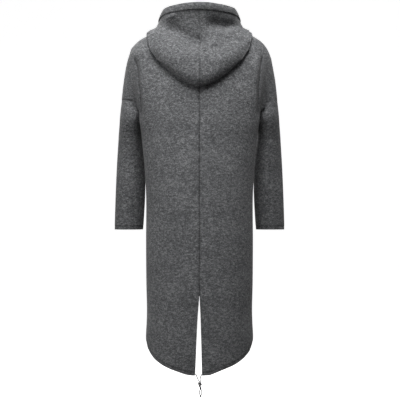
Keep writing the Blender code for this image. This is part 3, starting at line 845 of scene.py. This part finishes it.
@dataclass
class Drawcord:
    """The hem's drawcord: two strands, their lock, the knot, the end loop and the end knot."""

    diameter: float = 0.0027
    depth: float = 0.1405
    lock_place: FlatPoint = (-0.0010, -1.1695)
    lock_size: Point = (0.0135, 0.0070, 0.0075)
    lock_tilt: float = math.radians(32.0)
    knot_place: FlatPoint = (-0.0036, -1.1852)
    end_height: float = -1.2105
    knot_size: float = 0.0056
    knot_reach: float = 0.36
    knot_rise: float = 0.42
    knot_cord: float = 0.46
    loop_half_width: float = 0.0040
    left_exit: Point = (0.0123, 0.1395, -1.1370)
    right_exit: Point = (-0.0063, 0.1395, -1.1380)
    left_bends: tuple[FlatPoint, ...] = ((0.0095, -1.1430), (0.0060, -1.1530))
    right_bends: tuple[FlatPoint, ...] = ((-0.0046, -1.1450), (-0.0020, -1.1550))
    left_entry: float = 0.0034
    right_entry: float = -0.0012
    tail_half_gap: float = 0.0024
    strand_gap: float = 0.00015
    edge_round: float = 0.0006
    button_round: float = 0.0007

    def _lock_point(self, along: float, up: float) -> Point:
        """A place on the tilted lock, along its length and up its height from its middle."""
        x = along * math.cos(self.lock_tilt) - up * math.sin(self.lock_tilt)
        z = along * math.sin(self.lock_tilt) + up * math.cos(self.lock_tilt)
        return (self.lock_place[0] + x, self.depth, self.lock_place[1] + z)

    def strand(self, name: str, side: int) -> bpy.types.Object:
        """One strand from the hem through the lock and the knot, round the loop, to the end knot.

        Args:
            name: the piece's name.
            side: 1 on the wearer's left and -1 on the right.

        Returns:
            The strand, a curve of one spline.
        """
        y = self.depth
        face = self.lock_size[2] / 2
        if side > 0:
            leaves, bends, entry = self.left_exit, self.left_bends, self.left_entry
        else:
            leaves, bends, entry = self.right_exit, self.right_bends, self.right_entry
        top = [leaves, *((x, y, z) for x, z in bends), self._lock_point(entry, face)]
        x, knot = self.knot_place
        near = self.diameter / 2 + self.strand_gap
        bottom = [
            self._lock_point(side * self.tail_half_gap, -face),
            (x + side * near, y, knot + self.knot_size / 2),
            (x + side * near, y, knot - self.knot_size / 2),
            (x + side * self.loop_half_width, y, (knot + self.end_height) / 2),
            (x + side * near, y, self.end_height + self.knot_size / 2),
            (x + side * near, y, self.end_height),
        ]
        return self._tube(name, soft_curve([*top, *bottom], 5), self.diameter / 2, closed=False)

    @staticmethod
    def _tube(name: str, points: np.ndarray, radius: float, closed: bool) -> bpy.types.Object:
        """A round tube along points."""
        curve = bpy.data.curves.new(name, "CURVE")
        curve.dimensions = "3D"
        curve.bevel_depth = radius
        curve.bevel_resolution = 4
        curve.use_fill_caps = True
        line = curve.splines.new("POLY")
        line.points.add(len(points) - 1)
        for spot, point in zip(line.points, points):
            spot.co = (*point, 1.0)
        line.use_cyclic_u = closed
        piece = bpy.data.objects.new(name, curve)
        bpy.context.scene.collection.objects.link(piece)
        return piece

    def knot(self, name: str, height: float) -> bpy.types.Object:
        """A knot of the two strands, as one closed round of cord with three lobes.

        Args:
            name: the piece's name.
            height: the height of the knot's middle.

        Returns:
            The knot.
        """
        turns = np.linspace(0.0, 2.0 * math.pi, 64, endpoint=False)
        across = (np.sin(turns) + 2.0 * np.sin(2.0 * turns)) / 3.0
        up = (np.cos(turns) - 2.0 * np.cos(2.0 * turns)) / 3.0
        out = -np.sin(3.0 * turns)
        reach = self.knot_size * self.knot_reach
        points = np.column_stack(
            [
                self.knot_place[0] + across * reach,
                self.depth + out * self.diameter * self.knot_rise,
                height + up * reach,
            ]
        )
        return self._tube(name, points, self.diameter * self.knot_cord, closed=True)

    def lock(self, name: str) -> bpy.types.Object:
        """The moulded lock with sunk sides, sunk faces where the cord passes, and a push button.

        Args:
            name: the piece's name.

        Returns:
            The lock.
        """
        length, depth, height = self.lock_size
        shape = bmesh.new()
        bmesh.ops.create_cube(shape, size=1.0)
        bmesh.ops.scale(shape, verts=shape.verts, vec=(length * 0.80, depth, height))
        bmesh.ops.translate(shape, verts=shape.verts, vec=(-length * 0.10, 0.0, 0.0))
        sides = [face for face in shape.faces if abs(face.normal.y) > 0.5]
        bmesh.ops.inset_individual(shape, faces=sides, thickness=height * 0.16, depth=-depth * 0.06)
        passes = [face for face in shape.faces if abs(face.normal.z) > 0.9 and face.calc_area() > 3e-5]
        bmesh.ops.inset_individual(shape, faces=passes, thickness=depth * 0.22, depth=-height * 0.10)
        bmesh.ops.bevel(
            shape,
            geom=[edge for edge in shape.edges if edge.calc_face_angle(0.0) > 0.5],
            offset=self.edge_round,
            segments=3,
            profile=0.5,
            affect="EDGES",
            material=-1,
        )
        button = bmesh.ops.create_cone(
            shape,
            cap_ends=True,
            segments=32,
            radius1=height * 0.34,
            radius2=height * 0.34,
            depth=length * 0.34,
            matrix=Matrix.Translation((length * 0.33, 0.0, 0.0)) @ Matrix.Rotation(math.pi / 2, 4, "Y"),
        )["verts"]
        turned = set(button)
        rings = [edge for edge in shape.edges if turned.issuperset(edge.verts)]
        ends = [edge for edge in rings if edge.calc_face_angle(0.0) > 1.0]
        bmesh.ops.bevel(
            shape,
            geom=ends,
            offset=self.button_round,
            segments=3,
            profile=0.5,
            affect="EDGES",
            material=-1,
        )
        seat = Matrix.Translation((self.lock_place[0], self.depth, self.lock_place[1]))
        bmesh.ops.transform(shape, matrix=seat @ Matrix.Rotation(-self.lock_tilt, 4, "Y"), verts=shape.verts)
        return new_object(name, shape)

    def build(self) -> dict[str, bpy.types.Object]:
        """Makes the drawcord's pieces.

        Returns:
            The pieces by name: lock, knot, end, left and right.
        """
        return {
            "lock": self.lock("lock_body"),
            "knot": self.knot("braid_knot", self.knot_place[1]),
            "end": self.knot("braid_end_knot", self.end_height),
            "left": self.strand("braid_left", 1),
            "right": self.strand("braid_right", -1),
        }

    def dress(
        self, pieces: dict[str, bpy.types.Object], cord: bpy.types.Material, plastic: bpy.types.Material
    ) -> None:
        """Gives the pieces their finishes and body, and hides their solids.

        Args:
            pieces: the pieces that build made.
            cord: the braid's finish.
            plastic: the lock's finish.
        """
        for name, nodes, slot, finish in (
            ("lock", ("cord_lock",), "lock", plastic),
            ("knot", ("cord_knot",), "cord", cord),
            ("end", ("cord_end",), "cord", cord),
            ("left", ("cord_left", "cord_tail_left", "cord_loop_left"), "cord", cord),
            ("right", ("cord_right", "cord_tail_right", "cord_loop_right"), "cord", cord),
        ):
            pieces[name].data.materials.append(finish)
            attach(pieces[name], BODY)
            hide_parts(*nodes)


@dataclass(frozen=True)
class SoftLight:
    """A square area light aimed at a point."""

    name: str
    place: Point
    target: Point
    size: float
    power: float

    def build(self) -> None:
        """Puts the light in the scene."""
        light = bpy.data.lights.new(self.name, "AREA")
        light.size = self.size
        light.energy = self.power
        lamp = bpy.data.objects.new(self.name, light)
        lamp.location = self.place
        aim = Vector(self.target) - Vector(self.place)
        lamp.rotation_euler = aim.to_track_quat("-Z", "Y").to_euler()
        bpy.context.scene.collection.objects.link(lamp)


@dataclass
class Studio:
    """White sweep, soft lights and the camera behind the coat."""

    paper: bpy.types.Material
    camera_place: Point = (-0.0017, 4.5, -0.564)
    metres_across: float = 1.36
    sensor: float = 36.0
    floor_drop: float = 0.40
    floor_depth: float = 16.0
    wall_height: float = 7.0
    sweep_radius: float = 1.5
    room_light: float = 0.08
    lights: tuple[SoftLight, ...] = (
        SoftLight("key", (0.02, 1.40, 1.8), (0.0, 0.0, -0.10), 1.3, 94.0),
        SoftLight("fill", (3.2, 2.2, 0.7), (0.2, 0.0, -0.3), 1.6, 44.0),
        SoftLight("front_fill", (1.0, -3.0, 2.0), (0.0, 0.0, -0.3), 2.0, 120.0),
    )

    def build(self, lowest: float) -> None:
        """Makes the floor, the lights and the camera.

        Args:
            lowest: the height of the coat's lowest point.
        """
        self._sweep(lowest - self.floor_drop)
        self._lights()
        self._camera()

    def _sweep(self, floor: float) -> None:
        """A floor that curves up into a backdrop, all round."""
        shape = bmesh.new()
        bmesh.ops.create_circle(shape, cap_ends=True, segments=96, radius=self.floor_depth / 2)
        rim = [edge for edge in shape.edges if edge.is_boundary]
        for step in range(1, 9):
            turn = math.pi / 2 * step / 8
            raised = bmesh.ops.extrude_edge_only(shape, edges=rim)["geom"]
            ring = [item for item in raised if isinstance(item, bmesh.types.BMVert)]
            rim = [item for item in raised if isinstance(item, bmesh.types.BMEdge)]
            reach = self.floor_depth / 2 + self.sweep_radius * math.sin(turn)
            for vertex in ring:
                flat = vertex.co.xy.normalized() * reach
                vertex.co = (*flat, self.sweep_radius * (1.0 - math.cos(turn)))
        wall = bmesh.ops.extrude_edge_only(shape, edges=rim)["geom"]
        top = [item for item in wall if isinstance(item, bmesh.types.BMVert)]
        bmesh.ops.translate(shape, verts=top, vec=(0.0, 0.0, self.wall_height))
        bmesh.ops.translate(shape, verts=shape.verts, vec=(0.0, 0.0, floor))
        bmesh.ops.reverse_faces(shape, faces=[face for face in shape.faces if face.normal.z < 0.0])
        sweep = new_object("studio_sweep", shape)
        sweep.data.materials.append(self.paper)
        sweep.visible_diffuse = False
        sweep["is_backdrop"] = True

    def _lights(self) -> None:
        """A soft key high above the back, a fill from the left, a light for the front and the room's own."""
        for light in self.lights:
            light.build()
        world = bpy.data.worlds.new("studio")
        world.use_nodes = True
        background = world.node_tree.nodes["Background"]
        background.inputs["Color"].default_value = (1.0, 1.0, 1.0, 1.0)
        background.inputs["Strength"].default_value = self.room_light
        bpy.context.scene.world = world

    def _camera(self) -> None:
        """A level camera behind the coat."""
        lens = bpy.data.cameras.new("camera")
        lens.sensor_width = self.sensor
        lens.lens = self.sensor * self.camera_place[1] / self.metres_across
        camera = bpy.data.objects.new("camera", lens)
        camera.location = self.camera_place
        camera.rotation_euler = (math.radians(90.0), 0.0, math.radians(180.0))
        bpy.context.scene.collection.objects.link(camera)
        bpy.context.scene.camera = camera


LEFT_ARM_CREASE = (
    (0.2278, -0.079),
    (0.2134, -0.100),
    (0.2045, -0.138),
    (0.2022, -0.170),
    (0.1974, -0.215),
    (0.193, -0.304),
)
RIGHT_ARM_CREASE = (
    (-0.2157, -0.074),
    (-0.2077, -0.100),
    (-0.2013, -0.144),
    (-0.1981, -0.183),
    (-0.1965, -0.231),
    (-0.193, -0.304),
)
# The two thin creases between arm and back carry painted shade, stronger on the right, whose arm lies in
# shadow.
ARM_FOLDS = (
    Fold(LEFT_ARM_CREASE, -0.014, 0.007, 0.15, Profile.SHARP),
    Fold(LEFT_ARM_CREASE, -0.001, 0.0030, 0.15, Profile.SHARP, 0.6),
    Fold(RIGHT_ARM_CREASE, -0.014, 0.007, 0.15, Profile.SHARP),
    Fold(RIGHT_ARM_CREASE, -0.001, 0.0036, 0.15, Profile.SHARP, 0.8),
    Fold(((-0.198, -0.080), (-0.188, -0.130), (-0.184, -0.200)), 0.004, 0.014),
)
FRONT_FOLDS = (
    Fold(((0.150, -0.20), (0.135, -0.34), (0.150, -0.52)), -0.005, 0.030, face=Face.FRONT),
    Fold(((-0.155, -0.22), (-0.130, -0.37), (-0.140, -0.58)), -0.006, 0.028, face=Face.FRONT),
    Fold(((0.085, -0.48), (0.110, -0.70), (0.100, -0.98)), 0.005, 0.045, face=Face.FRONT),
    Fold(((-0.095, -0.55), (-0.075, -0.76), (-0.105, -0.99)), -0.005, 0.040, face=Face.FRONT),
)
# The centre back seam carries painted shade along its groove.
BACK_SEAMS = (
    Fold(((0.0, -0.10), (0.0, -0.40), (0.0, -0.70), (0.0, -0.90)), -0.0026, 0.0024, 0.02, Profile.SHARP, 0.75),
)
LEFT_ARMHOLE = ((0.30, -0.214), (0.262, -0.222), (0.234, -0.228), (0.205, -0.238))
RIGHT_ARMHOLE = ((-0.30, -0.238), (-0.257, -0.247), (-0.21, -0.247))
# The armhole seams carry painted shade along their grooves.
ARM_SEAMS = (
    Fold(LEFT_ARMHOLE, -0.0020, 0.0024, 0.05, Profile.SHARP, 0.6),
    Fold(RIGHT_ARMHOLE, -0.0020, 0.0024, 0.05, Profile.SHARP, 0.6),
)
RIM_LINE = ((0.14, 0.070), (0.07, 0.082), (0.0, 0.086), (-0.07, 0.082), (-0.14, 0.070))
RIM_LEAN = Fold(RIM_LINE, 0.016, 0.045, 0.10)
HOOD_FOLDS = (
    RIM_LEAN,
    # The hood's centre seam carries painted shade, stronger on its lower part.
    Fold(((0.0, 0.12), (0.0, 0.03), (0.0, -0.08), (0.0, -0.22)), -0.0024, 0.0024, 0.02, Profile.SHARP, 0.2),
    Fold(((0.0, -0.04), (0.0, -0.10), (0.0, -0.16), (0.0, -0.24)), -0.0004, 0.0024, 0.4, Profile.SHARP, 0.6),
    Fold(((0.09, -0.075), (0.04, -0.105), (0.0, -0.115), (-0.04, -0.105), (-0.09, -0.075)), -0.009, 0.045),
    Fold(
        ((0.125, 0.015), (0.087, 0.001), (0.052, -0.021), (0.027, -0.037), (0.002, -0.044), (-0.023, -0.036)),
        -0.018,
        0.026,
        fade=0.2,
    ),
    Fold(((-0.011, 0.018), (-0.049, 0.021), (-0.087, 0.015), (-0.115, 0.021), (-0.134, 0.034)), -0.018, 0.018),
    Fold(
        ((-0.011, -0.010), (-0.048, -0.004), (-0.086, -0.011), (-0.127, 0.003), (-0.146, 0.019)),
        0.007,
        0.013,
    ),
    Fold(((0.011, -0.072), (-0.023, -0.058), (-0.054, -0.037), (-0.073, -0.028)), 0.007, 0.010),
    Fold(((-0.064, -0.042), (-0.062, -0.061), (-0.067, -0.086), (-0.064, -0.104)), -0.007, 0.010),
    Fold(((0.122, 0.043), (0.097, 0.047), (0.075, 0.054)), 0.005, 0.009),
    Fold(((0.156, -0.031), (0.124, -0.034), (0.087, -0.047), (0.052, -0.069)), 0.004, 0.020),
)
STITCHING = (
    (SeamStitching("hem_stitches", (0.0, 0.0)), ("back_left", "back_right", "front_left", "front_right")),
    (SeamStitching("cuff_stitches_left", (0.244, -0.076)), ("sleeve_left",)),
    (SeamStitching("cuff_stitches_right", (-0.244, -0.076)), ("sleeve_right",)),
)
BACK_CUT = SheetCut(0.37, 1.20, 0.345)
FRONT_CUT = SheetCut(0.36, 1.00, 0.262)
SLEEVE_CUT = SheetCut(0.40, 0.46, 0.135)
HOOD_CUT = SheetCut(0.38, 0.40, 0.116)
BAND_CUT = SheetCut(0.024, 0.34, 0.0075, "folded")


def main() -> None:
    """Builds the coat's pieces in order and reports each."""
    logging.basicConfig(level=logging.INFO, format="%(message)s")
    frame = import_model()
    nodes = frame["nodes"]
    solid_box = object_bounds()
    bpy.context.scene.view_settings.view_transform = "Standard"
    Studio(StudioPaper("studio_paper").material()).build(solid_box[0].z)
    wool = MelangeWool("melange_wool").material()
    band_wool = MelangeWool("band_melange_wool").material()
    rows = {node: row for row, row_nodes in STITCHING for node in row_nodes}
    lines = {node: row.line(nodes[node], node.startswith("sleeve")) for node, row in rows.items()}
    panels = []
    for hand in ("left", "right"):
        for node, cut, folds, reach in (
            ("back_" + hand, BACK_CUT, ARM_FOLDS + ARM_SEAMS + BACK_SEAMS, SEWN_REACH),
            ("front_" + hand, FRONT_CUT, FRONT_FOLDS, SEWN_REACH),
            ("sleeve_" + hand, SLEEVE_CUT, ARM_FOLDS + ARM_SEAMS, SLEEVE_REACH),
        ):
            panels.append(ClothPanel(node, "wool", cut, wool, folds, seam_reach=reach, stitch_line=lines[node]))
        hood = ClothPanel("hood_" + hand, "wool", HOOD_CUT, wool, HOOD_FOLDS, front_layer_only=True)
        band = ClothPanel("hood_band_" + hand, "band_wool", BAND_CUT, band_wool, (RIM_LEAN,))
        for panel in (hood, band):
            panel.seam_width = HOOD_SEAM_WIDTH
            panel.seam_depth = HOOD_SEAM_DEPTH
        panels += [hood, band]
    cord = BraidedCord("braided_cord").material()
    plastic = MouldedPlastic("moulded_plastic").material()
    drawcord = Drawcord()
    cord_pieces = drawcord.build()
    drawcord.dress(cord_pieces, cord, plastic)
    for piece in cord_pieces.values():
        LOG.info("%s", piece.name)
    shells = {}
    for panel in panels:
        piece = panel.build(nodes)
        panel.dress(piece)
        shells[panel.node] = piece
        LOG.info("%s: %d faces", piece.name, len(piece.data.polygons))
    thread = SewingThread("sewing_thread").material()
    for row, row_nodes in STITCHING:
        stitches = []
        for node in row_nodes:
            stitches += row.sew(lines[node], shells[node])
        piece = row.build(stitches)
        row.dress(piece, thread)
        LOG.info("%s: %d stitches", piece.name, len(stitches))


if __name__ == "__main__":
    main()
